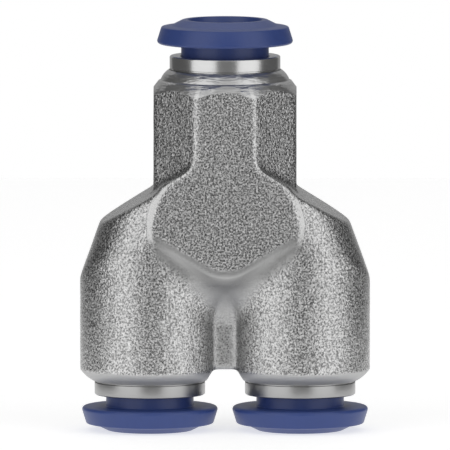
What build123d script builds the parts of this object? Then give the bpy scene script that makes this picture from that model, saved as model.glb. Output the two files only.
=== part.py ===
from build123d import *
import os
from math import cos, radians, sin, tan

# Push-in tubing Y connector for quarter inch tube: a forged and turned body with one
# port up and two parallel ports down. Each port holds the same set of small pieces:
# a release collet, a retaining sleeve, a guide ring, a toothed claw ring, a backing
# ring and an O-ring. Millimetres, +Z up along the single port, front face towards -Y.
# The origin is at the middle of the plane that the two lower collets stand on.

# Tube and its way in
tube_r = 3.175
bore_clearance = 0.075
grip_clearance = 0.105
insertion_depth = 16.0
flow_r = 2.1
passage_r = 1.9
drill_point_angle = 118.0

# Forged body
leg_pitch = 14.0
leg_r = 6.5
neck_across_flats = 13.3
neck_sides = 8
body_foot_z = 4.65
body_top_z = 33.7
end_face_width = 0.1
leg_end_cone = 1.08

# Turned end of the neck: two cones with a small ledge between them
neck_end_cone = 0.95
neck_end_cone_width = 0.75
neck_ledge_width = 0.2
neck_ledge_drop = 0.07
neck_skirt_slope = 37.0

# Sloped flanks over the legs
flank_start_z = 14.15
flank_tilt = 20.0
flank_corner_r = 5.15
flank_side_play = 0.05

# Shoulder planes, and the shield that stands a little proud in front and behind
roof_slope = 30.0
roof_at_neck_z = 22.8
roof_blend_r = 4.3
shield_bevel_depth = 0.35
shield_bevel_width = 0.5
shield_tip_width = 0.65
shield_shoulder_inset = 0.75
shield_side_bulge = 0.5

# Crotch between the legs and the web below it
crotch_slope = 30.0
crotch_front_z = 14.1
crotch_web_z = 11.3
crotch_r = 3.4
crotch_edge_r = 1.3
web_thickness = 4.6
web_bottom_z = 5.9

# Small gap left round the pieces that are pressed or dropped into the body
seat_gap = 0.02

# How far the holes are cut out past the end faces
hole_overshoot = 1.0

# Retaining sleeve
sleeve_wall = 0.43
sleeve_proud = 1.3
sleeve_seat = 3.0
sleeve_lip_depth = 0.5
sleeve_pocket_clearance = 0.22
sleeve_end_round = 0.15
sleeve_mouth_chamfer = 0.12

# Release collet
collet_gap = 1.1
flange_width = 2.34
flange_taper = 0.5
flange_thickness = 1.5
flange_round = 0.3
flange_dish_width = 0.9
flange_dish_rise = 0.12
boss_wall = 0.7
boss_height = 0.75
boss_root_round = 0.8
boss_round = 0.3
entry_flare = 0.25
entry_depth = 0.6
skirt_wall = 0.83
skirt_clearance = 0.08
barb_height = 0.42
barb_play = 0.05
barb_length = 0.95
nose_chamfer = 0.35
nose_play = 0.12
collet_travel = 0.85
slot_count = 4
slot_width = 0.55
slot_start_depth = -0.6

# Guide ring, claw ring and backing ring
guide_length = 1.0
guide_clearance = 0.22
claw_thickness = 0.25
claw_rim_width = 0.75
claw_slope = 38.0
claw_count = 12
claw_gap = 0.45
claw_slot_inset = 0.1
backing_length = 2.1
backing_land = 0.7

# O-ring and its seat
seal_section_r = 0.83
seal_play = 0.15
seal_side_gap = 0.03

# Places worked out from the sizes above. Depths are measured into the body along a port.
bore_r = tube_r + bore_clearance
grip_r = tube_r - grip_clearance
skirt_r = bore_r + skirt_wall
barb_r = skirt_r + barb_height
sleeve_pocket_r = barb_r + sleeve_pocket_clearance
sleeve_r = sleeve_pocket_r + sleeve_wall
leg_x = leg_pitch / 2
neck_end_r = sleeve_r + end_face_width
leg_end_cone_width = leg_r - neck_end_r
neck_ledge_inner_r = neck_end_r + neck_end_cone_width
neck_ledge_outer_r = neck_ledge_inner_r + neck_ledge_width
neck_half = neck_across_flats / 2
shield_tip_x = neck_half + shield_tip_width
shield_shoulder_x = neck_half - shield_shoulder_inset
entry_r = bore_r + entry_flare
boss_top_r = bore_r + boss_wall
flange_inner_r = skirt_r + flange_width
flange_outer_r = flange_inner_r - flange_taper
flange_dish_r = flange_outer_r - flange_dish_width
neck_corner_angle = 180 / neck_sides
octagon_corner_r = neck_half / cos(radians(neck_corner_angle))
octagon_edge_x = neck_half * tan(radians(neck_corner_angle))
web_half = web_thickness / 2
collet_mouth = -(sleeve_proud + collet_gap + flange_thickness + boss_height)
flange_face = -(sleeve_proud + collet_gap)
stop_depth = collet_mouth + insertion_depth
sleeve_lip_r = skirt_r + skirt_clearance
guide_start = sleeve_seat
claw_start = guide_start + guide_length
backing_start = claw_start + claw_thickness
backing_end = backing_start + backing_length
ring_r = sleeve_r - seat_gap
claw_root_r = sleeve_r - claw_rim_width
claw_slot_r = claw_root_r - claw_slot_inset
guide_bore_r = skirt_r + guide_clearance
nose_r = skirt_r - nose_chamfer
nose_depth = claw_start + (claw_root_r - nose_r) * tan(radians(claw_slope)) - nose_play - collet_travel
seal_seat_r = grip_r + 2 * seal_section_r + seal_side_gap
seal_seat_end = backing_end + 2 * seal_section_r + seal_play

# A port's plane lies on the body's end face, with its Z axis pointing into the body
ports = {
    "top": Plane(origin=(0, 0, body_top_z), x_dir=(1, 0, 0), z_dir=(0, 0, -1)),
    "left": Plane(origin=(-leg_x, 0, body_foot_z), x_dir=(1, 0, 0), z_dir=(0, 0, 1)),
    "right": Plane(origin=(leg_x, 0, body_foot_z), x_dir=(1, 0, 0), z_dir=(0, 0, 1)),
}

os.makedirs("parts", exist_ok=True)


def roof_height(x):
    """Height of the right shoulder plane at x."""
    return roof_at_neck_z - (x - neck_half) * tan(radians(roof_slope))


def turned(port, profile, rounds={}, chamfers={}):
    """A solid of revolution round a port's axis, from (radius, depth) points.

    Rounds and chamfers give a size for the points that are not sharp corners.
    """
    with BuildPart() as ring:
        with BuildSketch(Plane(port.origin, x_dir=port.x_dir, z_dir=-port.y_dir)) as outline:
            with BuildLine():
                Polyline(*profile, close=True)
            make_face()
            for corner, size in rounds.items():
                fillet(outline.vertices().sort_by_distance(corner)[0], size)
            for corner, size in chamfers.items():
                chamfer(outline.vertices().sort_by_distance(corner)[0], size)
        revolve(axis=Axis(port.origin, port.z_dir))
    return ring.part


def make_right_leg():
    """The right leg, cut by its sloped flank and by the shoulder plane above it."""
    outer_x = leg_x + leg_r
    inner_x = leg_x - leg_r
    flank_plane = Plane(
        origin=(outer_x, 0, flank_start_z),
        x_dir=(-cos(radians(flank_tilt)), 0, -sin(radians(flank_tilt))),
        z_dir=(-sin(radians(flank_tilt)), 0, cos(radians(flank_tilt))),
    )
    with BuildPart() as leg:
        with BuildSketch(Plane.XY.offset(body_foot_z)):
            with Locations((leg_x, 0)):
                Circle(leg_r)
        extrude(amount=body_top_z)
        foot = leg.faces().sort_by(Axis.Z)[0]
        chamfer(foot.edges(), leg_end_cone_width, leg_end_cone, reference=foot)
        with BuildSketch(flank_plane) as flank:
            with Locations((body_top_z / 2, 0)):
                Rectangle(body_top_z, 2 * (leg_r + flank_side_play))
            fillet(flank.vertices().group_by(Axis.X)[0], flank_corner_r)
        extrude(amount=body_top_z, both=True, mode=Mode.INTERSECT)
        with BuildSketch(Plane.XZ):
            with BuildLine():
                Polyline(
                    (inner_x, 0),
                    (outer_x, 0),
                    (outer_x, roof_height(outer_x)),
                    (inner_x, roof_height(inner_x)),
                    close=True,
                )
            make_face()
        extrude(amount=leg_r, both=True, mode=Mode.INTERSECT)
    return leg.part


def make_neck():
    """The octagonal neck with its turned end."""
    root_z = crotch_height(crotch_front_z, shield_tip_x)
    ledge_z = body_top_z - neck_end_cone
    skirt_z = ledge_z - neck_ledge_drop
    corner_z = skirt_z - (octagon_corner_r - neck_ledge_outer_r) / tan(radians(neck_skirt_slope))
    with BuildPart() as neck:
        with BuildSketch(Plane.XY.offset(root_z)):
            RegularPolygon(octagon_corner_r, neck_sides, rotation=neck_corner_angle)
        extrude(amount=body_top_z - root_z)
        with BuildSketch(Plane.XZ):
            with BuildLine():
                Polyline(
                    (0, root_z),
                    (octagon_corner_r, root_z),
                    (octagon_corner_r, corner_z),
                    (neck_ledge_outer_r, skirt_z),
                    (neck_ledge_inner_r, ledge_z),
                    (neck_end_r, body_top_z),
                    (0, body_top_z),
                    close=True,
                )
            make_face()
        revolve(axis=Axis.Z, mode=Mode.INTERSECT)
    return neck.part


def crotch_height(crotch_z, x):
    """Height at x of a crotch line whose two halves would meet at crotch_z."""
    return crotch_z + x * tan(radians(crotch_slope))


def shoulder_section(depth, side_inset=0):
    """Outline of neck root, roofs, shield sides and crotch, in the plane at a depth in front of XZ."""
    crotch_fall = (crotch_front_z - crotch_web_z) / (neck_half - web_half)
    crotch_z = crotch_web_z + (depth - web_half) * crotch_fall
    shoulder_x = shield_shoulder_x - side_inset
    tip_x = shield_tip_x - side_inset
    blend_run = roof_blend_r * tan(radians((90 - roof_slope) / 2))
    blend_top = (octagon_edge_x, roof_height(octagon_edge_x) + blend_run)
    blend_end_x = octagon_edge_x + blend_run * cos(radians(roof_slope))
    blend_end = (blend_end_x, roof_height(blend_end_x))
    shoulder = (shoulder_x, roof_height(shoulder_x))
    tip = (tip_x, crotch_height(crotch_z, tip_x))
    side_middle = (
        (shoulder[0] + tip[0]) / 2 + shield_side_bulge,
        (shoulder[1] + tip[1]) / 2,
    )
    arc_x = crotch_r * sin(radians(crotch_slope))
    arc_end = (arc_x, crotch_height(crotch_z, arc_x))
    apex = (0, arc_end[1] - crotch_r * (1 - cos(radians(crotch_slope))))
    with BuildSketch(Plane.XZ.offset(depth)) as section:
        with BuildLine():
            Line((0, blend_top[1]), blend_top)
            TangentArc(blend_top, blend_end, tangent=(0, -1))
            Line(blend_end, shoulder)
            ThreePointArc(shoulder, side_middle, tip)
            Line(tip, arc_end)
            TangentArc(apex, arc_end, tangent=(1, 0))
            mirror(about=Plane.YZ)
        make_face()
    return section.sketch


def make_front_shoulder():
    """The front half of the shoulder block, with the shield's rounded and bevelled edges."""
    web_section = shoulder_section(web_half)
    bevel_section = shoulder_section(neck_half - shield_bevel_depth)
    face_section = shoulder_section(neck_half, side_inset=shield_bevel_width)
    tip_z = crotch_height(crotch_front_z, shield_tip_x - shield_bevel_width)
    with BuildPart() as front:
        loft([web_section, bevel_section], ruled=True)
        loft([bevel_section, face_section], ruled=True)
        face_edges = front.faces().sort_by(Axis.Y)[0].edges()
        fillet(face_edges.filter_by(lambda edge: edge.center().Z < tip_z), crotch_edge_r)
        extrude(web_section, amount=-web_half)
    return front.part


def cut_port(port):
    """The stepped hole of one port: sleeve seat, seal seat, tube socket and flow bore."""
    point_depth = flow_r / tan(radians(drill_point_angle / 2))
    flow_end = stop_depth + 2 * flow_r
    return turned(
        port,
        [
            (0, -hole_overshoot),
            (sleeve_r, -hole_overshoot),
            (sleeve_r, backing_end),
            (seal_seat_r, backing_end),
            (seal_seat_r, seal_seat_end),
            (bore_r, seal_seat_end),
            (bore_r, stop_depth),
            (flow_r, stop_depth),
            (flow_r, flow_end),
            (0, flow_end + point_depth),
        ],
    )


def cut_passage(side):
    """A drilled passage from the top port's flow bore down to one leg's flow bore."""
    start = Vector(0, 0, body_top_z - stop_depth - flow_r)
    end = Vector(side * leg_x, 0, body_foot_z + stop_depth + flow_r)
    with BuildPart() as passage:
        with BuildSketch(Plane(start, z_dir=end - start)):
            Circle(passage_r)
        extrude(amount=(end - start).length)
    return passage.part


def make_body():
    """The forged body: legs, neck, shoulder and web as one piece, then its holes."""
    neck = make_neck()
    leg = make_right_leg()
    front = make_front_shoulder()
    holes = [cut_port(port) for port in ports.values()] + [cut_passage(side) for side in (-1, 1)]
    with BuildPart() as body:
        add([neck, leg, front])
        mirror(leg, about=Plane.YZ)
        mirror(front, about=Plane.XZ)
        with BuildSketch(Plane.XY.offset(web_bottom_z)):
            Rectangle(leg_pitch, web_thickness)
        extrude(amount=crotch_height(crotch_web_z, shield_tip_x) - web_bottom_z)
        add(holes, mode=Mode.SUBTRACT)
    return body.part


def make_sleeve(port):
    """The turned sleeve that is pressed into the body and holds the collet by its lip."""
    mouth = (sleeve_lip_r, -sleeve_proud)
    outer_end = (sleeve_r, -sleeve_proud)
    return turned(
        port,
        [
            mouth,
            outer_end,
            (sleeve_r, 0),
            (ring_r, 0),
            (ring_r, sleeve_seat),
            (sleeve_pocket_r, sleeve_seat),
            (sleeve_pocket_r, sleeve_lip_depth),
            (sleeve_lip_r, sleeve_lip_depth),
        ],
        rounds={outer_end: sleeve_end_round},
        chamfers={mouth: sleeve_mouth_chamfer},
    )


def make_guide_ring(port):
    """The ring between sleeve and claws that backs the claws when the tube is pulled."""
    return turned(
        port,
        [
            (guide_bore_r, guide_start),
            (ring_r, guide_start),
            (ring_r, claw_start),
            (guide_bore_r, claw_start),
        ],
    )


def make_claw_ring(port):
    """The spring washer whose slanted teeth grip the tube."""
    slope = tan(radians(claw_slope))
    tip_drop = (claw_root_r - grip_r) * slope
    washer = turned(
        port,
        [
            (ring_r, claw_start),
            (ring_r, backing_start),
            (claw_root_r, backing_start),
            (grip_r, backing_start + tip_drop),
            (grip_r, claw_start + tip_drop),
            (claw_root_r, claw_start),
        ],
    )
    with BuildPart() as claws:
        add(washer)
        with BuildSketch(port.offset(guide_start)):
            with PolarLocations(0, claw_count):
                Rectangle(claw_slot_r, claw_gap, align=(Align.MIN, Align.CENTER))
        extrude(amount=backing_end - guide_start, mode=Mode.SUBTRACT)
    return claws.part


def make_backing_ring(port):
    """The ring that the claws bend into and that keeps the O-ring in its seat."""
    mouth_r = claw_root_r + seat_gap
    land_start = backing_end - backing_land
    return turned(
        port,
        [
            (mouth_r, backing_start),
            (ring_r, backing_start),
            (ring_r, backing_end),
            (bore_r, backing_end),
            (bore_r, land_start),
        ],
    )


def make_o_ring(port):
    """The seal between tube and body."""
    with BuildPart() as seal:
        with BuildSketch(Plane(port.origin, x_dir=port.x_dir, z_dir=-port.y_dir)):
            with Locations((grip_r + seal_section_r, backing_end + seal_section_r + seal_play / 2)):
                Circle(seal_section_r)
        revolve(axis=Axis(port.origin, port.z_dir))
    return seal.part


def make_collet(port):
    """The release collet: head with flange and boss, and a slotted skirt with snap barbs."""
    barb_start = sleeve_lip_depth + barb_play
    flange_outer_face = flange_face - flange_thickness
    boss_end = (boss_top_r, collet_mouth)
    boss_root = (flange_dish_r, flange_outer_face - flange_dish_rise)
    flange_end = (flange_outer_r, flange_outer_face)
    flange_back = (flange_inner_r, flange_face)
    head_and_skirt = turned(
        port,
        [
            (bore_r, collet_mouth + entry_depth),
            (entry_r, collet_mouth),
            boss_end,
            boss_root,
            flange_end,
            flange_back,
            (skirt_r, flange_face),
            (skirt_r, barb_start),
            (barb_r, barb_start),
            (skirt_r, barb_start + barb_length),
            (skirt_r, nose_depth - nose_chamfer),
            (nose_r, nose_depth),
            (bore_r, nose_depth),
        ],
        rounds={
            boss_end: boss_round,
            boss_root: boss_root_round,
            flange_end: flange_round,
            flange_back: flange_round,
        },
    )
    with BuildPart() as collet:
        add(head_and_skirt)
        with BuildSketch(port.offset(slot_start_depth)):
            with Locations(Rotation(0, 0, 180 / slot_count)):
                for turn in range(slot_count // 2):
                    with Locations(Rotation(0, 0, turn * 360 / slot_count)):
                        Rectangle(2 * barb_r, slot_width)
        extrude(amount=nose_depth - slot_start_depth, mode=Mode.SUBTRACT)
    return collet.part


def save(part, name):
    """Writes one finished piece under its own name."""
    part.label = name
    export_step(part, f"parts/{name}.step")


save(make_body(), "forged_body")
makers = {
    "retaining_sleeve": make_sleeve,
    "release_collet": make_collet,
    "guide_ring": make_guide_ring,
    "claw_ring": make_claw_ring,
    "backing_ring": make_backing_ring,
    "o_ring": make_o_ring,
}
for place, port in ports.items():
    for name, make in makers.items():
        save(make(port), f"{place}_{name}")
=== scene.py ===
import itertools
import logging
import math
from collections.abc import Sequence
from dataclasses import dataclass
from enum import Enum

import bmesh
import bpy
import numpy as np
from mathutils import Matrix, Vector


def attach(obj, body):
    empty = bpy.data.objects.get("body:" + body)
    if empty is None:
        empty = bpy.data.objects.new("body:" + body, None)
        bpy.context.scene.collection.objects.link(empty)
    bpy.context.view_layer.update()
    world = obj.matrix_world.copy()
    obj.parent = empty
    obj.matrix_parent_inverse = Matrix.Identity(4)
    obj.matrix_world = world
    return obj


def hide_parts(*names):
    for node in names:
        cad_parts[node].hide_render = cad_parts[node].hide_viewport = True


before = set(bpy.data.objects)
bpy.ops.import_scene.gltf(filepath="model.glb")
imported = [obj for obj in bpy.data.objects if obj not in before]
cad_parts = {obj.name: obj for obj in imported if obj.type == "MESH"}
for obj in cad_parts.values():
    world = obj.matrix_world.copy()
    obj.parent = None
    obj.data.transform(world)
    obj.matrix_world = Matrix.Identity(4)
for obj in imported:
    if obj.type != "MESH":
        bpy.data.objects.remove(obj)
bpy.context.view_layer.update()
MM = 0.001
TOUCHING = 1e-9
WELD_DISTANCE = 1e-8
LEG_X = 7.0
LEG_FACE_Z = 4.65
NECK_FACE_Z = 33.7
WHITE = (1.0, 1.0, 1.0, 1.0)
LOG = logging.getLogger("tubing_y_connector")

Point2 = tuple[float, float]
Colour = tuple[float, float, float]


def sine(angle: float) -> float:
    """Sine of an angle in degrees."""
    return math.sin(math.radians(angle))


def cosine(angle: float) -> float:
    """Cosine of an angle in degrees."""
    return math.cos(math.radians(angle))


def tangent(angle: float) -> float:
    """Tangent of an angle in degrees."""
    return math.tan(math.radians(angle))


# Shader maths


@dataclass(frozen=True)
class Signal:
    """One output socket of a shader, ready for arithmetic."""

    shader: "Shader"
    socket: bpy.types.NodeSocket

    def maths(self, operation: str, *others: "Signal | float") -> "Signal":
        """Adds a Math node that takes this value first."""
        return self.shader.node("ShaderNodeMath", {"operation": operation}, [self, *others])

    def __add__(self, other: "Signal | float") -> "Signal":
        """Sum."""
        return self.maths("ADD", other)

    def __mul__(self, other: "Signal | float") -> "Signal":
        """Product."""
        return self.maths("MULTIPLY", other)

    def __sub__(self, other: "Signal | float") -> "Signal":
        """Difference."""
        return self.maths("SUBTRACT", other)

    def __rsub__(self, other: float) -> "Signal":
        """A number less this value."""
        return self.shader.node("ShaderNodeMath", {"operation": "SUBTRACT"}, [other, self])

    def __pow__(self, other: float) -> "Signal":
        """Power."""
        return self.maths("POWER", other)

    def __abs__(self) -> "Signal":
        """Size without its sign."""
        return self.maths("ABSOLUTE")

    def __lt__(self, other: float) -> "Signal":
        """1 where this value is below the other."""
        return self.maths("LESS_THAN", other)

    def ramp(self, low: float, high: float) -> "Signal":
        """This value's place between two limits, from 0 to 1, with soft ends."""
        settings = {"interpolation_type": "SMOOTHSTEP"}
        return self.shader.node("ShaderNodeMapRange", settings, {"Value": self, 1: low, 2: high})


class Shader:
    """A material and the few calls that its node tree is written with."""

    def __init__(self, name: str) -> None:
        """Makes an empty material.

        Args:
            name: The material's name.
        """
        self.material = bpy.data.materials.new(name)
        self.material.use_nodes = True
        self.tree = self.material.node_tree
        self.tree.nodes.clear()

    def node(
        self,
        kind: str,
        settings: dict | None = None,
        inputs: dict | Sequence | None = None,
        output: int | str = 0,
    ) -> Signal:
        """Adds one node.

        Args:
            kind: Blender's name of the node type.
            settings: The node's own settings by name, set before its sockets.
            inputs: Values or signals by socket, as a mapping or in order.
            output: The socket that is handed back.

        Returns:
            The node's output as a signal.
        """
        made = self.tree.nodes.new(kind)
        for key, value in (settings or {}).items():
            setattr(made, key, value)
        items = inputs.items() if isinstance(inputs, dict) else enumerate(inputs or ())
        for key, value in items:
            socket = made.inputs[key]
            if isinstance(value, Signal):
                self.tree.links.new(value.socket, socket)
            else:
                socket.default_value = value
        return Signal(self, made.outputs[output])

    def place(self) -> Signal:
        """Object coordinates in millimetres, in the row's frame."""
        metres = self.node("ShaderNodeTexCoord", output="Object")
        return self.node("ShaderNodeVectorMath", {"operation": "SCALE"}, {0: metres, "Scale": 1 / MM})

    def axis(self, vector: Signal, name: str) -> Signal:
        """One coordinate, X, Y or Z, of a vector."""
        return self.node("ShaderNodeSeparateXYZ", None, [vector], name)

    def noise(self, place: Signal, size: float, detail: float = 2.0, rough: float = 0.5) -> Signal:
        """Noise from 0 to 1 whose clouds have a width in millimetres, with finer layers of a strength."""
        inputs = {"Vector": place, "Scale": 1 / size, "Detail": detail, "Roughness": rough}
        return self.node("ShaderNodeTexNoise", {"noise_dimensions": "3D"}, inputs, "Fac")

    def mix(self, factor: Signal, low: "Colour | Signal", high: "Colour | Signal") -> Signal:
        """Colour between two linear ones: the low one at factor 0, the high one at factor 1."""
        first, second = (value if isinstance(value, Signal) else (*value, 1.0) for value in (low, high))
        return self.node("ShaderNodeMix", {"data_type": "RGBA"}, {0: factor, 6: first, 7: second}, 2)

    def bump(self, height: Signal, depth: float) -> Signal:
        """A normal that follows a height from 0 to 1 over a depth in millimetres."""
        return self.node("ShaderNodeBump", None, {"Height": height, "Distance": depth * MM})

    def principled(self, sockets: dict) -> bpy.types.Material:
        """The finished material of one Principled surface, from its sockets by name."""
        return self.finish(self.node("ShaderNodeBsdfPrincipled", None, sockets))

    def finish(self, surface: Signal) -> bpy.types.Material:
        """Links the surface to the output.

        Args:
            surface: A shader signal.

        Returns:
            The finished material.
        """
        out = self.tree.nodes.new("ShaderNodeOutputMaterial")
        self.tree.links.new(surface.socket, out.inputs["Surface"])
        return self.material


# Finishes


def shaded(colour: Colour, share: float) -> Colour:
    """A colour made lighter or darker."""
    return tuple(share * part for part in colour)


@dataclass(frozen=True)
class BlastedNickel:
    """Nickel plate over a forging skin that was blasted rough."""

    peel_size: float = 0.24
    peel_depth: float = 0.08
    swell_size: float = 0.8
    swell_share: float = 0.4
    speck_size: float = 0.17
    speck_low: float = 0.27
    speck_high: float = 0.74
    worn_low: float = 0.4
    worn_high: float = 1.3
    worn_smoothing: float = 0.45
    worn_cover: float = 0.8
    filled_low: float = -2.0
    filled_high: float = -7.0
    filled_smoothing: float = 0.6
    smooth_peel_loss: float = 0.8
    smooth_shade: float = 0.6
    # Painted shade in the hollow: how far it runs in from the front face, and from the middle towards the
    # tips
    face_start: float = 4.2
    face_end: float = 6.3
    tip_start: float = 1.5
    tip_end: float = 5.5
    pit_colour: Colour = (0.19, 0.19, 0.19)
    skin_colour: Colour = (0.79, 0.79, 0.788)
    edge_colour: Colour = (0.54, 0.54, 0.538)
    # Painted shade colours of the hollow under the shield: darkest at the middle of its front edge, lighter
    # towards the tips, mid grey deeper in
    rim_shade_colour: Colour = (0.22, 0.22, 0.219)
    tip_shade_colour: Colour = (0.44, 0.44, 0.438)
    deep_shade_colour: Colour = (0.36, 0.36, 0.36)
    roughness: float = 0.12
    skin_roughness: float = 0.32
    hollow_roughness: float = 0.14
    worn_polish: float = 0.05

    def material(self) -> bpy.types.Material:
        """Builds the finish.

        Returns:
            The material, which reads how worn and how hollow each point is, and paints shade into the
            hollow's colour.
        """
        shader = Shader("blasted_nickel")
        place = shader.place()
        peel = shader.noise(place, self.peel_size, detail=3.0, rough=0.6)
        swell = shader.noise(place, self.swell_size)
        specks = shader.noise(place, self.speck_size, detail=1.0)
        wear = shader.node("ShaderNodeAttribute", {"attribute_name": "worn"}, output="Fac")
        hollow = shader.node("ShaderNodeAttribute", {"attribute_name": "hollow"}, output="Fac")
        worn = wear.ramp(self.worn_low, self.worn_high)
        filled = wear.ramp(self.filled_low, self.filled_high)
        smooth = (hollow + worn * self.worn_smoothing + filled * self.filled_smoothing).ramp(0.0, 1.0)
        height = peel * (1.0 - smooth * self.smooth_peel_loss) + swell * self.swell_share
        pits = specks.ramp(self.speck_low, self.speck_high) * (1.0 - smooth) + smooth * self.smooth_shade
        grain = shader.mix(pits, self.pit_colour, self.skin_colour)
        # Painted shade in the hollow under the shield, blended in by the hollow mask: darkest at the middle
        # of the front edge, lighter towards the tips, mid grey deeper between the legs. The smoother surface
        # there is real
        face = abs(shader.axis(place, "Y")).ramp(self.face_start, self.face_end)
        tip = abs(shader.axis(place, "X")).ramp(self.tip_start, self.tip_end)
        rim = shader.mix(tip, self.rim_shade_colour, self.tip_shade_colour)
        skin = shader.mix(hollow, grain, shader.mix(face, self.deep_shade_colour, rim))
        polish = self.roughness - worn * self.worn_polish
        return shader.principled(
            {
                "Base Color": shader.mix(worn * self.worn_cover, skin, self.edge_colour),
                "Metallic": 1.0,
                "Roughness": pits * self.skin_roughness + hollow * self.hollow_roughness + polish,
                "Normal": shader.bump(height, self.peel_depth),
            }
        )


@dataclass(frozen=True)
class TurnedNickel:
    """Nickel plate over a turned surface, with fine marks round each port's axis."""

    name: str
    colour: Colour = (0.62, 0.62, 0.618)
    roughness: float = 0.2
    mark_size: float = 0.09
    mark_depth: float = 0.004
    mark_climb: float = 1.3
    mark_drift: float = 0.02
    mark_roughness: float = 0.1
    haze_size: float = 1.1
    haze_shade: float = 0.93
    haze_roughness: float = 0.06
    streak_size: float = 1.3
    streak_squash: float = 4.0
    streak_depth: float = 0.0
    split_z: float = 20.0

    def material(self) -> bpy.types.Material:
        """Builds the finish.

        Returns:
            The material, whose marks run round the neck above split_z and round the legs below it.
        """
        shader = Shader(self.name)
        place = shader.place()
        height = shader.axis(place, "Z")
        low = height < self.split_z
        across = abs(shader.axis(place, "X")) - low * LEG_X
        depth = shader.axis(place, "Y")
        radius = (across * across + depth * depth) ** 0.5
        steps = {"Z": radius + height * self.mark_climb, "X": across * self.mark_drift}
        marks = shader.noise(shader.node("ShaderNodeCombineXYZ", None, steps), self.mark_size, rough=0.6)
        haze = shader.noise(place, self.haze_size)
        squash = (1.0, 1.0, self.streak_squash)
        squashed = shader.node("ShaderNodeVectorMath", {"operation": "MULTIPLY"}, [place, squash])
        streaks = shader.noise(squashed, self.streak_size)
        relief = marks + streaks * (self.streak_depth / self.mark_depth)
        return shader.principled(
            {
                "Base Color": shader.mix(haze, shaded(self.colour, self.haze_shade), self.colour),
                "Metallic": 1.0,
                "Roughness": marks * self.mark_roughness + haze * self.haze_roughness + self.roughness,
                "Normal": shader.bump(relief, self.mark_depth),
            }
        )


@dataclass(frozen=True)
class MouldedPlastic:
    """Satin moulded plastic with a faint mottle."""

    name: str
    colour: Colour
    light: float = 1.12
    roughness: float = 0.4
    mottle_size: float = 0.9
    mottle_roughness: float = 0.1
    skin_size: float = 0.14
    skin_roughness: float = 0.08
    skin_depth: float = 0.006

    def material(self) -> bpy.types.Material:
        """Builds the finish.

        Returns:
            The material, whose mean roughness is the named one.
        """
        shader = Shader(self.name)
        place = shader.place()
        mottle = shader.noise(place, self.mottle_size, detail=3.0, rough=0.55)
        skin = shader.noise(place, self.skin_size, rough=0.6)
        least = self.roughness - (self.mottle_roughness + self.skin_roughness) / 2
        return shader.principled(
            {
                "Base Color": shader.mix(mottle, self.colour, shaded(self.colour, self.light)),
                "Roughness": mottle * self.mottle_roughness + skin * self.skin_roughness + least,
                "Normal": shader.bump(skin, self.skin_depth),
            }
        )


@dataclass(frozen=True)
class SpringSteel:
    """Bright stamped spring steel with a fine rolled grain."""

    colour: Colour = (0.62, 0.61, 0.59)
    grain_size: float = 0.12
    grain_shade: float = 0.85
    grain_roughness: float = 0.12
    grain_depth: float = 0.003
    roughness: float = 0.2

    def material(self) -> bpy.types.Material:
        """Builds the finish.

        Returns:
            The material.
        """
        shader = Shader("spring_steel")
        grain = shader.noise(shader.place(), self.grain_size, detail=3.0, rough=0.6)
        return shader.principled(
            {
                "Base Color": shader.mix(grain, shaded(self.colour, self.grain_shade), self.colour),
                "Metallic": 1.0,
                "Roughness": grain * self.grain_roughness + self.roughness,
                "Normal": shader.bump(grain, self.grain_depth),
            }
        )


@dataclass(frozen=True)
class Paper:
    """The plain pale floor."""

    colour: Colour = (0.55, 0.55, 0.55)
    roughness: float = 0.9
    glow: float = 0.66

    def material(self) -> bpy.types.Material:
        """Builds the finish.

        Returns:
            The material.
        """
        shader = Shader("floor_paper")
        return shader.principled(
            {
                "Base Color": (*self.colour, 1.0),
                "Roughness": self.roughness,
                "Emission Color": WHITE,
                "Emission Strength": self.glow,
            }
        )


# Meshes


class Zone(Enum):
    """The finishes of the body, by material slot."""

    SKIN = 0
    TURNED = 1
    MATT = 2


def new_piece(
    name: str, points: np.ndarray, faces: Sequence[Sequence[int]], *materials: bpy.types.Material
) -> bpy.types.Object:
    """Makes a mesh object from points in millimetres.

    Args:
        name: The object's name.
        points: One row for each point.
        faces: Point numbers of each face.
        materials: Materials in slot order.

    Returns:
        The linked object.
    """
    mesh = bpy.data.meshes.new(name)
    mesh.from_pydata((np.asarray(points) * MM).tolist(), [], faces)
    mesh.validate()
    piece = bpy.data.objects.new(name, mesh)
    for material in materials:
        mesh.materials.append(material)
    bpy.context.scene.collection.objects.link(piece)
    return piece


def smooth_by_angle(piece: bpy.types.Object, angle: float) -> None:
    """Shades a piece smooth, with creases where faces meet at more than the angle in degrees."""
    piece.data.shade_smooth()
    piece.data.set_sharp_from_angle(angle=math.radians(angle))


def cut(piece: bpy.types.Object, *cutters: bpy.types.Object) -> None:
    """Cuts solids out of a piece for good.

    Args:
        piece: The piece that is cut.
        cutters: Closed solids, removed afterwards.
    """
    for cutter in cutters:
        step = piece.modifiers.new("cut", "BOOLEAN")
        step.operation = "DIFFERENCE"
        step.solver = "MANIFOLD"
        step.object = cutter
        scene = bpy.context.evaluated_depsgraph_get()
        result = bpy.data.meshes.new_from_object(piece.evaluated_get(scene))
        piece.modifiers.clear()
        piece.data = result
        bpy.data.objects.remove(cutter)


def rounded(corners: Sequence[tuple[float, float, float]], steps: int = 5) -> list[Point2]:
    """Rounds the corners of a closed outline.

    Args:
        corners: Radius and depth of each corner, and the size of its round.
        steps: Points along each round, less one.

    Returns:
        The outline's points.
    """
    outline: list[Point2] = []
    count = len(corners)
    for index, (x, y, size) in enumerate(corners):
        here = Vector((x, y))
        before = Vector(corners[index - 1][:2]) - here
        after = Vector(corners[(index + 1) % count][:2]) - here
        if size <= 0:
            outline.append((x, y))
            continue
        half = before.angle(after) / 2
        reach = size / math.tan(half)
        start = here + before.normalized() * reach
        end = here + after.normalized() * reach
        middle = here + (before.normalized() + after.normalized()).normalized() * (size / math.sin(half))
        sweep = (start - middle).angle_signed(end - middle)
        for step in range(steps + 1):
            turn = Matrix.Rotation(-sweep * step / steps, 2)
            point = middle + turn @ (start - middle)
            outline.append((point.x, point.y))
    return outline


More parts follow.
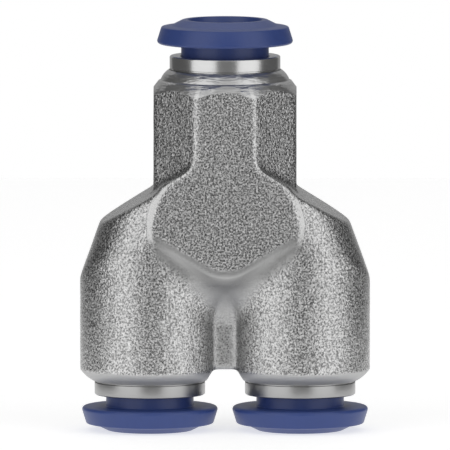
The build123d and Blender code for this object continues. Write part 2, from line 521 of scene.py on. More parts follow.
@dataclass(frozen=True)
class Port:
    """One end of the connector: its axis, its end face and the way into it."""

    name: str
    x: float
    face_z: float
    inward: int

    @property
    def body(self) -> str:
        """The body that the port's collet makes."""
        return f"{self.name}_collet"

    def turned(
        self, name: str, outline: Sequence[Point2], *materials: bpy.types.Material, segments: int = 128
    ) -> bpy.types.Object:
        """Turns a closed outline round the port's axis.

        Args:
            name: The object's name.
            outline: Radius and depth of each point.
            materials: Materials in slot order.
            segments: Flats round the axis.

        Returns:
            The turned object.
        """
        angles = np.arange(segments) * 2 * math.pi / segments
        radii, depths = np.array(outline).T
        rim = np.stack(
            [
                self.x + np.outer(np.cos(angles), radii),
                np.outer(np.sin(angles), radii),
                np.broadcast_to(self.face_z + self.inward * depths, (segments, len(outline))),
            ],
            axis=-1,
        ).reshape(-1, 3)
        count = len(outline)
        closed = [index for index in range(count) if radii[index] < TOUCHING]
        faces = []
        for turn, index in itertools.product(range(segments), range(count)):
            following = (index + 1) % count
            if index in closed and following in closed:
                continue
            a = turn * count
            b = (turn + 1) % segments * count
            faces.append((a + index, a + following, b + following, b + index))
        piece = new_piece(name, rim, faces, *materials)
        weld(piece)
        return piece


def weld(piece: bpy.types.Object) -> None:
    """Joins points that coincide and turns every face outwards.

    Args:
        piece: The piece, changed in place.
    """
    work = bmesh.new()
    work.from_mesh(piece.data)
    bmesh.ops.remove_doubles(work, verts=work.verts, dist=WELD_DISTANCE)
    bmesh.ops.dissolve_degenerate(work, edges=work.edges, dist=TOUCHING)
    bmesh.ops.recalc_face_normals(work, faces=work.faces)
    work.to_mesh(piece.data)
    work.free()


# Forged body


@dataclass(frozen=True)
class Solid:
    """Distances to a shape on a grid of points, below zero inside it."""

    values: np.ndarray

    def __and__(self, other: "Solid") -> "Solid":
        """What both shapes share."""
        return Solid(np.maximum(self.values, other.values))

    def __or__(self, other: "Solid") -> "Solid":
        """Both shapes together."""
        return Solid(np.minimum(self.values, other.values))

    def rounded_and(self, other: "Solid", size: float | np.ndarray) -> "Solid":
        """What both shapes share, with a round along the edge between them.

        Args:
            other: The other shape.
            size: Radius of the round, the same everywhere or one for each point.

        Returns:
            The rounded shape.
        """
        first, second = self.values, other.values
        inner = np.minimum(np.maximum(first, second), -size)
        return Solid(inner + np.hypot(np.maximum(first + size, 0), np.maximum(second + size, 0)))

    def rounded_or(self, other: "Solid", size: float | np.ndarray) -> "Solid":
        """Both shapes together, with a fillet in the valley between them.

        Args:
            other: The other shape.
            size: Radius of the fillet, the same everywhere or one for each point.

        Returns:
            The filleted shape.
        """
        first, second = self.values, other.values
        outer = np.maximum(np.minimum(first, second), size)
        return Solid(outer - np.hypot(np.maximum(size - first, 0), np.maximum(size - second, 0)))

    def softened(self, step: float, size: float) -> "Solid":
        """The shape with every edge and valley eased.

        Args:
            step: Distance between grid points.
            size: Width of the easing.

        Returns:
            The eased shape.
        """
        # Three widths on each side hold nearly all of the bell curve's weight
        reach = max(1, round(3 * size / step))
        weights = np.exp(-0.5 * (np.arange(-reach, reach + 1) * step / size) ** 2)
        weights /= weights.sum()
        values = self.values
        for axis in range(3):
            margin = [(reach, reach) if way == axis else (0, 0) for way in range(3)]
            ahead = np.moveaxis(np.pad(values, margin, mode="edge"), axis, 0)
            length = values.shape[axis]
            eased = sum(weight * ahead[shift : shift + length] for shift, weight in enumerate(weights))
            values = np.moveaxis(eased, 0, axis)
        return Solid(values)


@dataclass(frozen=True)
class Places:
    """Points in millimetres: across the ports, from front to back, and their height."""

    x: np.ndarray
    y: np.ndarray
    z: np.ndarray


@dataclass(frozen=True)
class ForgedBody:
    """The forging with its rough skin, then its turned ends and stepped holes."""

    ports: Sequence[Port]
    leg_x: float = LEG_X
    leg_r: float = 6.5
    neck_half: float = 6.65
    neck_half_turn: float = 22.5
    flank_z: float = 14.3
    flank_tilt: float = 20.0
    flank_round: float = 5.15
    roof_slope: float = 30.0
    roof_z: float = 22.4
    roof_blend: float = 2.6
    shield_rise: float = 0.55
    shoulder_x: float = 5.9
    tip_x: float = 7.3
    tip_fade: float = 1.2
    side_bulge: float = 0.5
    bevel_width: float = 0.62
    bevel_depth: float = 0.33
    crotch_z: float = 14.1
    crotch_web_z: float = 11.3
    crotch_round: float = 3.4
    crotch_edge: float = 1.0
    crotch_edge_fade: float = 0.45
    crotch_fillet: float = 2.2
    fillet_start_z: float = 17.2
    fillet_growth: float = 2.8
    hollow_rise: float = 0.75
    hollow_start: float = 0.3
    hollow_full: float = 0.4
    hollow_drop: float = 1.9
    hollow_strength: float = 0.78
    web_smooth_x: float = 2.5
    web_smooth_fade: float = 1.3
    web_smooth_strength: float = 0.42
    web_fillet: float = 0.3
    valley_fillet: float = 0.25
    web_half: float = 2.75
    web_foot_z: float = 5.85
    foot_gap_half: float = 1.15
    foot_gap_spread: float = 0.52
    blank_low_z: float = 2.8
    blank_high_z: float = 35.6
    grid_margin: float = 1.0
    grid_step: float = 0.19
    ease: float = 0.22
    edge_loss: float = 0.07
    wave_count: int = 14
    wave_shortest: float = 1.8
    wave_longest: float = 5.0
    wave_height: float = 0.0022
    wave_turn: float = 6.3
    wave_seed: int = 7
    crease_angle: float = 38.0
    sleeve_r: float = 5.15
    end_r: float = 5.25
    ring_depth: float = 6.35
    seal_r: float = 4.76
    seal_depth: float = 8.16
    tube_r: float = 3.25
    stop_depth: float = 11.35
    flow_r: float = 2.1
    flow_depth: float = 15.55
    flow_point: float = 1.26
    passage_r: float = 1.9
    neck_cone: float = 0.95
    neck_bulge: float = 0.1
    ledge_inner_r: float = 6.0
    ledge_outer_r: float = 6.2
    ledge_drop: float = 0.07
    skirt_slope: float = 37.0
    leg_chamfer: float = 1.08
    leg_bulge: float = 0.11
    mouth_groove: float = 0.08
    mouth_slant: float = 1.5
    tool_margin: float = 0.07
    tool_overrun: float = 4.0
    skirt_reach: float = 1.4
    lathe_segments: int = 144
    drill_segments: int = 64
    hole_tolerance: float = 0.005
    face_tolerance: float = 0.01
    skirt_tolerance: float = 0.02
    cone_tolerance: float = 0.03
    cone_margin: float = 0.06

    def grid(self) -> Places:
        """Lays out the grid that the forging is worked out on.

        Returns:
            Its points.
        """
        margin = self.grid_margin
        wide, deep = self.leg_x + self.leg_r + margin, self.neck_half + margin
        spans = [(-wide, wide), (-deep, deep), (self.blank_low_z - margin, self.blank_high_z + margin)]
        axes = [np.arange(low, high, self.grid_step) for low, high in spans]
        return Places(*np.meshgrid(*axes, indexing="ij"))

    def rounding(self, at: Places) -> tuple[np.ndarray, np.ndarray]:
        """Works out how round the shield's lower edge and the valley beside the legs are.

        Args:
            at: Points, all mirrored into one quarter.

        Returns:
            The edge's radius and the valley's radius at each point.
        """
        edge = self.crotch_edge * (1 - self.crotch_edge_fade * np.minimum(at.x / self.shoulder_x, 1))
        share = np.clip((self.fillet_start_z - at.z) / self.fillet_growth, 0, 1)
        return edge, self.valley_fillet + (self.crotch_fillet - self.valley_fillet) * share

    def leg(self, at: Places) -> Solid:
        """The leg under its sloped flank and the shoulder plane.

        Args:
            at: Points, all mirrored into one quarter.

        Returns:
            The leg, and by symmetry its twin.
        """
        round_leg = Solid(np.hypot(at.x - self.leg_x, at.y) - self.leg_r)
        out = (at.x - self.leg_x - self.leg_r) * cosine(self.flank_tilt)
        flank = out + (at.z - self.flank_z) * sine(self.flank_tilt) + self.flank_round
        side = at.y - (self.leg_r - self.flank_round)
        slab = np.hypot(np.maximum(flank, 0), np.maximum(side, 0)) + np.minimum(np.maximum(flank, side), 0)
        return round_leg & Solid(slab - self.flank_round) & self.roof(at)

    def roof(self, at: Places, rise: float = 0.0) -> Solid:
        """Everything under the shoulder planes, or under planes that lie higher by a rise."""
        height = self.roof_z + rise - (at.x - self.neck_half) * tangent(self.roof_slope)
        return Solid((at.z - height) * cosine(self.roof_slope))

    def crotch(self, at: Places) -> Solid:
        """Everything above the crotch, which runs down from the front towards the web.

        Args:
            at: Points, all mirrored into one quarter.

        Returns:
            The shape above the crotch.
        """
        share = np.clip((at.y - self.web_half) / (self.neck_half - self.web_half), 0, 1)
        middle = self.crotch_web_z + share * (self.crotch_z - self.crotch_web_z)
        reach = self.crotch_round * sine(self.roof_slope)
        slope = tangent(self.roof_slope)
        curve = reach * slope + self.crotch_round * cosine(self.roof_slope)
        near = curve - np.sqrt(self.crotch_round**2 - np.minimum(at.x, reach) ** 2)
        height = middle + np.where(at.x < reach, near, at.x * slope)
        return Solid((height - at.z) * cosine(self.roof_slope))

    def shield(self, at: Places, edge: float | np.ndarray) -> tuple[Solid, Solid]:
        """The flat shield in front and behind, with its curved sides.

        Args:
            at: Points, all mirrored into one quarter.
            edge: Radius of the round along its lower edge.

        Returns:
            The shield, and what the bevels along its sides leave.
        """
        slope = tangent(self.roof_slope)
        top = self.roof_z + self.shield_rise
        shoulder = np.array([self.shoulder_x, top - (self.shoulder_x - self.neck_half) * slope])
        tip = np.array([self.tip_x, self.crotch_z + self.tip_x * slope])
        chord = tip - shoulder
        length = float(np.hypot(*chord))
        radius = (length**2 / 4 + self.side_bulge**2) / (2 * self.side_bulge)
        inward = np.array([chord[1], -chord[0]]) / length
        centre = (shoulder + tip) / 2 + inward * (radius - self.side_bulge)
        side = Solid(np.hypot(at.x - centre[0], np.minimum(at.z, shoulder[1]) - centre[1]) - radius)
        face = Solid(at.y - self.neck_half)
        lean = math.hypot(self.bevel_width, self.bevel_depth)
        bevel = self.bevel_depth * (side.values + self.bevel_width) + self.bevel_width * face.values
        neck_edge = self.neck_half * tangent(self.neck_half_turn)
        run = self.roof_blend * tangent((90 - self.roof_slope) / 2)
        blend_x = neck_edge + self.roof_blend
        blend_z = top - (neck_edge - self.neck_half) * slope + run
        column = Solid(at.x - neck_edge)
        hollow = Solid(self.roof_blend - np.hypot(at.x - blend_x, at.z - blend_z))
        corner = Solid(np.maximum(at.x - blend_x, at.z - blend_z))
        blend = hollow & corner & Solid(at.x - neck_edge - run * cosine(self.roof_slope))
        outline = self.roof(at, self.shield_rise) | column | blend
        front = face.rounded_and(self.crotch(at), edge)
        return front & outline & side, Solid(bevel / lean)

    def blank(self) -> tuple[np.ndarray, list[tuple[int, ...]], dict[str, np.ndarray]]:
        """The forging before machining.

        Returns:
            Its points in millimetres, its faces, and how worn and how hollow the forging is at each point.
        """
        whole = self.grid()
        at = Places(np.abs(whole.x), np.abs(whole.y), whole.z)
        octagon = Solid(np.maximum(np.maximum(at.x, at.y), (at.x + at.y) / math.sqrt(2)) - self.neck_half)
        neck = octagon & Solid(self.crotch_z + self.tip_x * tangent(self.roof_slope) - at.z)
        web = Solid(np.maximum(at.y - self.web_half, at.x - self.leg_x)) & Solid(self.web_foot_z - at.z)
        web = web & self.roof(at)
        legs = self.leg(at)
        edge, fillet = self.rounding(at)
        sharp, _ = self.shield(at, 0.0)
        shield, bevel = self.shield(at, edge)
        forging = legs.rounded_or(web, self.web_fillet).rounded_or(neck | (shield & bevel), fillet)
        forging = forging & self.foot_gap(at)
        ends = Solid(np.maximum(self.blank_low_z - at.z, at.z - self.blank_high_z))
        eased = (forging & ends).softened(self.grid_step, self.ease)
        lost = eased.values - ((legs | web | neck | sharp) & self.foot_gap(at)).values
        origin = np.array([way[0, 0, 0] for way in (whole.x, whole.y, whole.z)])
        values = eased.values + self.waviness(whole)
        points, faces, cells = surface_of(values, origin, self.grid_step)
        box = np.array([self.leg_x + self.leg_r, self.neck_half, self.blank_high_z])
        points = np.clip(points, -box, box)
        hollow = self.hollow(at)
        wear = lost / self.edge_loss * (1 - hollow)
        spots = tuple(cells.T)
        return points, faces, {"worn": wear[spots], "hollow": hollow[spots]}

    def foot_gap(self, at: Places) -> Solid:
        """Everything outside the gap between the legs' feet, which widens downwards from the web's foot."""
        half = self.foot_gap_half + (self.web_foot_z - at.z) * self.foot_gap_spread
        return Solid(-np.maximum(at.z - self.web_foot_z, at.x - half))

    def hollow(self, at: Places) -> np.ndarray:
        """How smooth the forging stays in the hollow under the shield and beside the web, and how much
        painted shade its colour takes there.

        Args:
            at: Points, all mirrored into one quarter.

        Returns:
            A share for each point, 0 where blasting reaches and 1 where it doesn't.
        """
        below = self.crotch(at).values
        start = np.clip((below + self.hollow_rise) / self.hollow_start, 0, 1)
        end = np.clip((self.hollow_drop - below) / (self.hollow_drop - self.hollow_full), 0, 1)
        band = start * end * np.clip((self.tip_x - at.x) / self.tip_fade, 0, 1)
        beside = np.clip((self.web_smooth_x - at.x) / self.web_smooth_fade, 0, 1) * (at.z < self.crotch_web_z)
        return np.maximum(band * self.hollow_strength, beside * self.web_smooth_strength)

    def waviness(self, at: Places) -> np.ndarray:
        """The die's slight unevenness.

        Args:
            at: Points of the whole forging.

        Returns:
            A height in millimetres for each point.
        """
        chance = np.random.default_rng(self.wave_seed)
        height = np.zeros_like(at.x)
        for _ in range(self.wave_count):
            direction = chance.normal(size=3)
            length = np.linalg.norm(direction) * chance.uniform(self.wave_shortest, self.wave_longest)
            direction *= 2 * math.pi / length
            phase = chance.uniform(0, self.wave_turn)
            height += np.sin(direction[0] * at.x + direction[1] * at.y + direction[2] * at.z + phase)
        return height * self.wave_height

    def hole(self) -> list[Point2]:
        """The stepped hole, from the end face inwards.

        Returns:
            Radius and depth of each step.
        """
        return [
            (self.sleeve_r + self.mouth_groove, 0),
            (self.sleeve_r, self.mouth_groove * self.mouth_slant),
            (self.sleeve_r, self.ring_depth),
            (self.seal_r, self.ring_depth),
            (self.seal_r, self.seal_depth),
            (self.tube_r, self.seal_depth),
            (self.tube_r, self.stop_depth),
            (self.flow_r, self.stop_depth),
            (self.flow_r, self.flow_depth),
            (0, self.flow_depth + self.flow_point),
        ]

    def bulging(self, start: Point2, end: Point2, bulge: float, steps: int = 8) -> list[Point2]:
        """Points along a cone that bulges outwards in its middle.

        Args:
            start: Radius and depth of the cone's wide end.
            end: Radius and depth at the end face.
            bulge: How far the middle stands out.
            steps: Number of straight parts.

        Returns:
            Radius and depth of each point.
        """
        wide, deep = start[0] - end[0], start[1] - end[1]
        length = math.hypot(wide, deep)
        points = []
        for share in (step / steps for step in range(steps + 1)):
            out = bulge * 4 * share * (1 - share) / length
            points.append((start[0] - share * wide + out * deep, start[1] - share * deep - out * wide))
        return points

    def neck_round(self) -> list[Point2]:
        """The cone at the neck's end, from its ledge up to the end face."""
        return self.bulging((self.ledge_inner_r, self.neck_cone), (self.end_r, 0), self.neck_bulge)

    def leg_round(self) -> list[Point2]:
        """The rounded cone at a leg's end."""
        return self.bulging((self.leg_r, self.leg_chamfer), (self.end_r, 0), self.leg_bulge)

    def skirt_depth(self, radius: float | np.ndarray) -> float | np.ndarray:
        """Depth of the long cone under the neck's ledge, at a radius."""
        ledge = self.neck_cone + self.ledge_drop
        return ledge + (radius - self.ledge_outer_r) / tangent(self.skirt_slope)

    def end_cut(self, port: Port) -> bpy.types.Object:
        """What the lathe takes off one end: outside cones, end face and stepped hole.

        Args:
            port: The port at that end.

        Returns:
            The cutter.
        """
        if port.inward < 0:
            out = self.neck_half * self.skirt_reach
            ledge = (self.ledge_outer_r, self.skirt_depth(self.ledge_outer_r))
            outside = [(out, self.skirt_depth(out)), ledge, *self.neck_round()]
        else:
            out = self.leg_r + self.tool_margin
            outside = [(out, self.leg_chamfer + self.tool_margin * 3), *self.leg_round()]
        outline = [(0, -self.tool_overrun), (out, -self.tool_overrun), *outside, *self.hole()]
        return port.turned(f"{port.name}_end_cut", outline, segments=self.lathe_segments)

    def passage_ends(self, side: int) -> tuple[Vector, Vector]:
        """Finds the drilled way from the upper flow bore to a lower one.

        Args:
            side: -1 for the left port, 1 for the right port.

        Returns:
            Its upper and lower end in millimetres.
        """
        top, low = self.ports[0], self.ports[1]
        start = Vector((0, 0, top.face_z - self.stop_depth - self.flow_r))
        end = Vector((side * self.leg_x, 0, low.face_z + self.stop_depth + self.flow_r))
        return start, end

    def passage_cut(self, side: int) -> bpy.types.Object:
        """Makes the cutter of one drilled way.

        Args:
            side: -1 for the left port, 1 for the right port.

        Returns:
            The cutter.
        """
        start, end = self.passage_ends(side)
        length = (end - start).length
        outline = [(0, 0), (self.passage_r, 0), (self.passage_r, length), (0, length)]
        cutter = Port("drill", 0, 0, 1).turned(f"passage_cut_{side}", outline, segments=self.drill_segments)
        turn = (end - start).to_track_quat("Z", "Y").to_matrix().to_4x4()
        cutter.data.transform(Matrix.Translation(start * MM) @ turn)
        return cutter

    def bored(self, radius: np.ndarray, depth: np.ndarray) -> np.ndarray:
        """Picks the places that lie in or on the stepped hole.

        Args:
            radius: Distance of each place from the port's axis.
            depth: Its depth from the end face.

        Returns:
            True for each place that does.
        """
        found = np.abs(depth) < self.face_tolerance
        for (wide, start), (narrow, end) in itertools.pairwise(self.hole()):
            share = np.clip((depth - start) / max(end - start, TOUCHING), 0, 1)
            within = radius < wide + (narrow - wide) * share + self.hole_tolerance
            found |= within & (depth > start - self.face_tolerance) & (depth < end + self.face_tolerance)
        return found

    def drilled(self, places: np.ndarray, side: int) -> np.ndarray:
        """Picks the places that lie in or on one drilled way.

        Args:
            places: One row of coordinates for each place.
            side: -1 for the left port, 1 for the right port.

        Returns:
            True for each place that does.
        """
        start, end = (np.array(point) for point in self.passage_ends(side))
        way = end - start
        share = np.clip((places - start) @ way / (way @ way), 0, 1)
        gap = np.linalg.norm(places - start - share[:, None] * way, axis=1)
        return gap < self.passage_r + self.face_tolerance

    def zones(self, places: np.ndarray) -> np.ndarray:
        """Picks the finish of each face.

        Args:
            places: The middle of each face in millimetres.

        Returns:
            The material slot of each face.
        """
        x, y, z = places.T
        turned = self.drilled(places, -1) | self.drilled(places, 1)
        matt = np.zeros(len(x), dtype=bool)
        for port in self.ports:
            radius = np.hypot(x - port.x, y)
            depth = (z - port.face_z) * port.inward
            turned |= self.bored(radius, depth)
            if port.inward < 0:
                ledge = self.skirt_depth(self.ledge_outer_r)
                near = np.abs(depth - self.skirt_depth(radius)) < self.skirt_tolerance
                turned |= near & (depth > self.neck_cone)
                turned |= (depth > -self.face_tolerance) & (depth < ledge + self.face_tolerance)
            else:
                wide, deep = np.array(self.leg_round()[::-1]).T
                near = np.abs(depth - np.interp(radius, wide, deep)) < self.cone_tolerance
                matt |= near & (radius < self.leg_r + self.cone_margin)
        return np.where(matt, Zone.MATT.value, np.where(turned, Zone.TURNED.value, Zone.SKIN.value))

    def build(self, finishes: dict[Zone, bpy.types.Material]) -> bpy.types.Object:
        """Forges, machines and dresses the body.

        Args:
            finishes: The finish of each zone.

        Returns:
            The body piece.
        """
        points, faces, layers = self.blank()
        piece = new_piece("forged_body_skin", points, faces, *(finishes[zone] for zone in Zone))
        for name, values in layers.items():
            piece.data.attributes.new(name, "FLOAT", "POINT").data.foreach_set("value", values)
        weld(piece)
        cut(piece, *[self.end_cut(port) for port in self.ports], self.passage_cut(-1), self.passage_cut(1))
        middles = np.empty(len(piece.data.polygons) * 3)
        piece.data.polygons.foreach_get("center", middles)
        piece.data.polygons.foreach_set("material_index", self.zones(middles.reshape(-1, 3) / MM))
        smooth_by_angle(piece, self.crease_angle)
        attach(piece, "body")
        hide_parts("forged_body")
        return piece


def surface_of(
    values: np.ndarray, origin: np.ndarray, step: float
) -> tuple[np.ndarray, list[tuple[int, ...]], np.ndarray]:
    """The surface where a grid of distances is zero, as points and four-sided faces.

    Args:
        values: Distances on the grid, below zero inside.
        origin: Place of the grid's first point.
        step: Distance between grid points.

    Returns:
        Points in the grid's units, faces, and the grid cell of each point.
    """
    inside = values < 0
    shape = np.array(values.shape) - 1
    corner = {
        place: tuple(slice(place[way], place[way] + shape[way]) for way in range(3))
        for place in itertools.product((0, 1), repeat=3)
    }
    held = sum(inside[part].astype(np.int8) for part in corner.values())
    crossed = (held > 0) & (held < len(corner))
    cells = np.argwhere(crossed)
    number = np.full(tuple(shape), -1)
    number[crossed] = np.arange(len(cells))
    total = np.zeros((len(cells), 3))
    count = np.zeros(len(cells))
    for first, second in itertools.combinations(corner, 2):
        step_way = np.array(second) - np.array(first)
        if np.abs(step_way).sum() != 1:
            continue
        low = values[tuple((cells + first).T)]
        high = values[tuple((cells + second).T)]
        change = (low < 0) != (high < 0)
        share = np.where(change, low / np.where(change, low - high, 1), 0)
        total[change] += (np.array(first) + share[:, None] * step_way)[change]
        count[change] += 1
    points = origin + step * (cells + total / count[:, None])
    faces: list[tuple[int, ...]] = []
    for way in range(3):
        ahead = [slice(None)] * 3
        behind = [slice(None)] * 3
        ahead[way], behind[way] = slice(1, None), slice(None, -1)
        change = inside[tuple(behind)] != inside[tuple(ahead)]
        spots = np.argwhere(change)
        left, right = [other for other in range(3) if other != way]
        spots = spots[(spots[:, left] > 0) & (spots[:, right] > 0)]
        spots = spots[(spots[:, left] < shape[left]) & (spots[:, right] < shape[right])]
        around = []
        for shift_left, shift_right in ((1, 1), (0, 1), (0, 0), (1, 0)):
            cell = spots.copy()
            cell[:, left] -= shift_left
            cell[:, right] -= shift_right
            around.append(number[tuple(cell.T)])
        quads = np.stack(around, axis=1)
        faces.extend(map(tuple, quads.tolist()))
    return points, faces, cells


# Small pieces


@dataclass(frozen=True)
class RetainingSleeve:
    """The bright turned sleeve in the mouth of one port."""

    port: Port
    outer_r: float = 5.15
    fit_r: float = 5.13
    lip_r: float = 4.16
    pocket_r: float = 4.72
    proud: float = 1.3
    lip_depth: float = 0.5
    seat_depth: float = 3.0
    end_round: float = 0.15
    mouth_round: float = 0.12
    step_round: float = 0.04
    inner_round: float = 0.05
    groove_width: float = 0.14
    groove_depth: float = 0.12
    groove_end: float = 0.2
    groove_slope: float = 0.03
    crease_angle: float = 30.0

    def build(self, finish: bpy.types.Material) -> bpy.types.Object:
        """Turns the sleeve.

        Args:
            finish: The bright turned finish.

        Returns:
            The sleeve piece.
        """
        outline = rounded(
            [
                (self.lip_r, -self.proud, self.mouth_round),
                (self.outer_r, -self.proud, self.end_round),
                (self.outer_r, -self.groove_width, self.step_round),
                (self.outer_r - self.groove_depth, -self.groove_width + self.groove_slope, 0),
                (self.outer_r - self.groove_depth, self.groove_end, 0),
                (self.fit_r, self.groove_end + self.groove_slope, 0),
                (self.fit_r, self.seat_depth, self.inner_round),
                (self.pocket_r, self.seat_depth, 0),
                (self.pocket_r, self.lip_depth, 0),
                (self.lip_r, self.lip_depth, self.inner_round),
            ]
        )
        piece = self.port.turned(f"{self.port.name}_sleeve_turned", outline, finish)
        smooth_by_angle(piece, self.crease_angle)
        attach(piece, "body")
        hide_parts(f"{self.port.name}_retaining_sleeve")
        return piece


@dataclass(frozen=True)
class ReleaseCollet:
    """The blue collet: head with flange and boss, slotted skirt with snap barbs."""

    port: Port
    bore_r: float = 3.25
    entry_r: float = 3.5
    entry_depth: float = 0.6
    boss_r: float = 3.95
    boss_height: float = 0.75
    dish_r: float = 5.02
    dish_rise: float = 0.22
    rim_drop: float = 0.1
    flange_outer_r: float = 5.92
    flange_inner_r: float = 6.42
    flange_thickness: float = 1.5
    flange_face: float = -2.4
    flange_round: float = 0.3
    skirt_r: float = 4.08
    barb_r: float = 4.5
    barb_start: float = 0.55
    barb_length: float = 0.95
    nose_depth: float = 3.553
    nose_chamfer: float = 0.35
    entry_round: float = 0.1
    mouth_round: float = 0.06
    boss_round: float = 0.3
    dish_round: float = 0.8
    rim_round: float = 0.2
    neck_round: float = 0.12
    slot_width: float = 0.55
    slot_start: float = -0.6
    slot_margin: float = 1.0
    segments: int = 144
    crease_angle: float = 30.0

    def outline(self) -> list[Point2]:
        """The collet's half section.

        Returns:
            Radius and depth of each point.
        """
        outer_face = self.flange_face - self.flange_thickness
        mouth = outer_face - self.boss_height
        return rounded(
            [
                (self.bore_r, mouth + self.entry_depth, self.entry_round),
                (self.entry_r, mouth, self.mouth_round),
                (self.boss_r, mouth, self.boss_round),
                (self.dish_r, outer_face - self.dish_rise, self.dish_round),
                (self.flange_outer_r, outer_face - self.rim_drop, self.rim_round),
                (self.flange_inner_r, self.flange_face, self.flange_round),
                (self.skirt_r, self.flange_face, self.neck_round),
                (self.skirt_r, self.barb_start, 0),
                (self.barb_r, self.barb_start, 0),
                (self.skirt_r, self.barb_start + self.barb_length, 0),
                (self.skirt_r, self.nose_depth - self.nose_chamfer, 0),
                (self.skirt_r - self.nose_chamfer, self.nose_depth, 0),
                (self.bore_r, self.nose_depth, 0),
            ],
            steps=7,
        )

    def slot_cut(self, turn: float) -> bpy.types.Object:
        """Makes a bar that cuts two slots across the skirt.

        Args:
            turn: Angle of the slots round the port's axis, in degrees.

        Returns:
            The cutter.
        """
        ends = (self.slot_start, self.nose_depth + self.slot_margin)
        low, high = sorted(self.port.face_z + self.port.inward * depth for depth in ends)
        reach, half = self.barb_r + self.slot_margin, self.slot_width / 2
        x, y, z = np.array(list(itertools.product((-reach, reach), (-half, half), (low, high)))).T
        across = self.port.x + x * cosine(turn) - y * sine(turn)
        corners = np.stack([across, x * sine(turn) + y * cosine(turn), z], axis=1)
        faces = [(0, 1, 3, 2), (4, 6, 7, 5), (0, 4, 5, 1), (2, 3, 7, 6), (0, 2, 6, 4), (1, 5, 7, 3)]
        cutter = new_piece(f"{self.port.name}_slot_cut", corners, faces)
        weld(cutter)
        return cutter

    def build(self, finish: bpy.types.Material) -> bpy.types.Object:
        """Moulds the collet.

        Args:
            finish: The blue plastic.

        Returns:
            The collet piece.
        """
        name = f"{self.port.name}_collet_moulded"
        piece = self.port.turned(name, self.outline(), finish, segments=self.segments)
        cut(piece, self.slot_cut(45), self.slot_cut(135))
        smooth_by_angle(piece, self.crease_angle)
        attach(piece, self.port.body)
        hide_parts(f"{self.port.name}_release_collet")
        return piece


@dataclass(frozen=True)
class InnerRings:
    """The rings behind one sleeve, which keep their solid shapes and get their finishes."""

    port: Port

    def dress(self, finishes: dict[str, bpy.types.Material]) -> None:
        """Gives each ring its finish.

        Args:
            finishes: Material of each ring by its plain name.
        """
        for ring, finish in finishes.items():
            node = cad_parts[f"{self.port.name}_{ring}"]
            node.data.materials.clear()
            node.data.materials.append(finish)


# Studio


@dataclass(frozen=True)
class StudioCard:
    """A curved card round the object: a dark one shades it, a bright one lights it.

    It spans two ranges in degrees: turns from the front towards the right, and heights above the floor.
    """

    name: str
    level: float
    turns: tuple[float, float]
    heights: tuple[float, float]
    distance: float = 700.0
    rows: int = 24

    def material(self) -> bpy.types.Material:
        """Builds the card's even glow.

        Returns:
            The material.
        """
        shader = Shader(self.name)
        glow = {"Color": WHITE, "Strength": self.level}
        return shader.finish(shader.node("ShaderNodeEmission", None, glow))

    def build(self) -> bpy.types.Object:
        """Makes the card, which the camera doesn't see.

        Returns:
            The card.
        """
        rows = self.rows
        spans = (np.radians(np.linspace(*ends, rows)) for ends in (self.turns, self.heights))
        across, up = np.meshgrid(*spans)
        points = np.stack([np.sin(across) * np.cos(up), -np.cos(across) * np.cos(up), np.sin(up)], axis=-1)
        starts = [row * rows + side for row, side in itertools.product(range(rows - 1), repeat=2)]
        faces = [(first, first + 1, first + rows + 1, first + rows) for first in starts]
        card = new_piece(self.name, points.reshape(-1, 3) * self.distance, faces, self.material())
        card.visible_camera = False
        return card


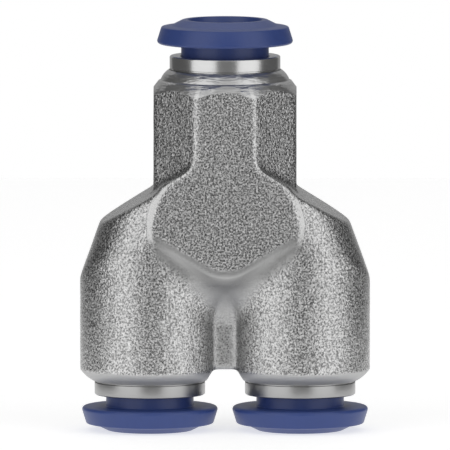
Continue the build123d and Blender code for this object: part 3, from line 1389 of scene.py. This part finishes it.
@dataclass(frozen=True)
class Studio:
    """Floor, soft light and camera."""

    pixels_per_mm: float = 10.74
    frame_pixels: float = 450.0
    elevation: float = 5.3
    distance: float = 1900.0
    aim_z: float = 19.15
    sensor_width: float = 36.0
    clip_near: float = 0.01
    clip_far: float = 20.0
    floor_front: float = 27.0
    floor_side: float = 56.0
    floor_back: float = 260.0
    world_level: float = 1.0
    cards: Sequence[StudioCard] = (
        StudioCard("dark_front_card", 0.22, turns=(-18.5, 26.0), heights=(-40.0, 30.0)),
        StudioCard("top_softbox", 0.7, turns=(-18.5, 26.0), heights=(30.0, 62.0)),
        StudioCard("grey_top_card", 0.4, turns=(-60.0, 60.0), heights=(62.0, 84.0)),
        StudioCard("left_softbox", 1.22, turns=(-74.0, -18.5), heights=(-25.0, 62.0)),
        StudioCard("right_softbox", 1.25, turns=(26.0, 77.0), heights=(-25.0, 62.0)),
        StudioCard("dark_left_card", 0.12, turns=(-146.0, -74.0), heights=(-40.0, 62.0)),
        StudioCard("dark_right_card", 0.13, turns=(77.0, 146.0), heights=(-40.0, 62.0)),
        StudioCard("grey_back_card", 0.42, turns=(146.0, 214.0), heights=(-20.0, 40.0)),
    )

    def floor(self) -> bpy.types.Object:
        """Lays the plain floor that the object stands on.

        Returns:
            The floor.
        """
        front, side, back = self.floor_front, self.floor_side, self.floor_back
        corners = np.array([(-side, -front, 0), (side, -front, 0), (side, back, 0), (-side, back, 0)])
        floor = new_piece("floor", corners, [(0, 1, 2, 3)], Paper().material())
        return floor

    def world(self) -> None:
        """A white surround that lights the object evenly."""
        world = bpy.data.worlds.new("white_surround")
        world.use_nodes = True
        background = world.node_tree.nodes["Background"]
        background.inputs["Color"].default_value = WHITE
        background.inputs["Strength"].default_value = self.world_level
        bpy.context.scene.world = world

    def camera(self) -> bpy.types.Object:
        """Sets up the camera at the photograph's angle.

        Returns:
            The camera.
        """
        data = bpy.data.cameras.new("camera")
        data.sensor_width = self.sensor_width
        data.lens = self.sensor_width * self.distance / (self.frame_pixels / self.pixels_per_mm)
        data.clip_start, data.clip_end = self.clip_near, self.clip_far
        camera = bpy.data.objects.new("camera", data)
        bpy.context.scene.collection.objects.link(camera)
        aim = Vector((0, 0, self.aim_z)) * MM
        back = Vector((0, -cosine(self.elevation), sine(self.elevation)))
        camera.location = aim + back * self.distance * MM
        camera.rotation_euler = (-back).to_track_quat("-Z", "Y").to_euler()
        bpy.context.scene.camera = camera
        return camera

    def build(self) -> None:
        """Sets up floor, light and camera."""
        self.floor()
        for card in self.cards:
            card.build()
        self.world()
        self.camera()
        bpy.context.scene.view_settings.view_transform = "Standard"


def body_finishes() -> dict[Zone, bpy.types.Material]:
    """Makes the finishes of the body.

    Returns:
        The finish of each zone.
    """
    turned = TurnedNickel("turned_end_nickel", (0.6, 0.6, 0.598), roughness=0.22, streak_depth=0.11)
    matt = TurnedNickel("matt_end_nickel", (0.56, 0.56, 0.558), roughness=0.46, streak_depth=0.02)
    return {
        Zone.SKIN: BlastedNickel().material(),
        Zone.TURNED: turned.material(),
        Zone.MATT: matt.material(),
    }


def main() -> None:
    """Builds the studio and every piece, and logs each piece's face count."""
    logging.basicConfig(level=logging.INFO, format="%(message)s")
    ports = (
        Port("top", 0.0, NECK_FACE_Z, -1),
        Port("left", -LEG_X, LEG_FACE_Z, 1),
        Port("right", LEG_X, LEG_FACE_Z, 1),
    )
    Studio().build()
    # The lower sleeves take a darker copy of the sleeve nickel: painted shade on the same turned sleeve as
    # the top one
    shaded_lower_nickel = TurnedNickel("shaded_lower_sleeve_nickel", (0.43, 0.43, 0.428), roughness=0.24).material()
    sleeve_nickel = TurnedNickel("turned_sleeve_nickel", roughness=0.15).material()
    blue = MouldedPlastic("blue_acetal_moulded", (0.028, 0.055, 0.203)).material()
    rubber = MouldedPlastic("black_seal_moulded", (0.012, 0.012, 0.012), roughness=0.55).material()
    rings = {
        "guide_ring": sleeve_nickel,
        "claw_ring": SpringSteel().material(),
        "backing_ring": sleeve_nickel,
        "o_ring": rubber,
    }
    body = ForgedBody(ports).build(body_finishes())
    LOG.info("%s: %d faces", body.name, len(body.data.polygons))
    for port in ports:
        sleeve = sleeve_nickel if port.inward < 0 else shaded_lower_nickel
        for piece in (RetainingSleeve(port).build(sleeve), ReleaseCollet(port).build(blue)):
            LOG.info("%s: %d faces", piece.name, len(piece.data.polygons))
        InnerRings(port).dress(rings)


if __name__ == "__main__":
    main()
